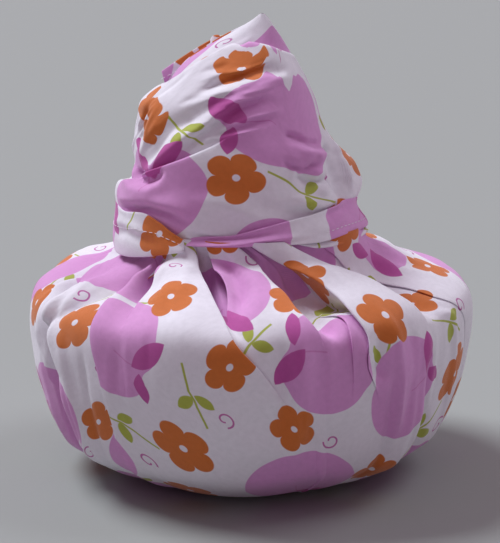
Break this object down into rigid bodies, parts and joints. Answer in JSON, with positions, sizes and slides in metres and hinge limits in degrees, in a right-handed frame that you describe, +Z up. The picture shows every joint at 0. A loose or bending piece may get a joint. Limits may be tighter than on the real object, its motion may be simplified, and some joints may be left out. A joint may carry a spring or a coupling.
{
  "type": "furoshiki wrap",
  "caption": "Square cotton wrapping cloth gathered in pleats round a wide bowl, its corners wound into a turban knob above a folded collar.",
  "frame": {"origin": "middle of the bundle's footprint, on the surface it stands on", "axes": "+Z up through the knob, -Y towards the front where the collar's end shows, +X to the right seen from the front"},
  "size_m": [0.1995, 0.2019, 0.204],
  "materials": {
    "printed_cotton": "matt plain-weave cotton with a print in pink, orange and leaf green on white"
  },
  "bodies": {
    "root": {"wrap_cloth": "printed_cotton"}
  },
  "joints": []
}
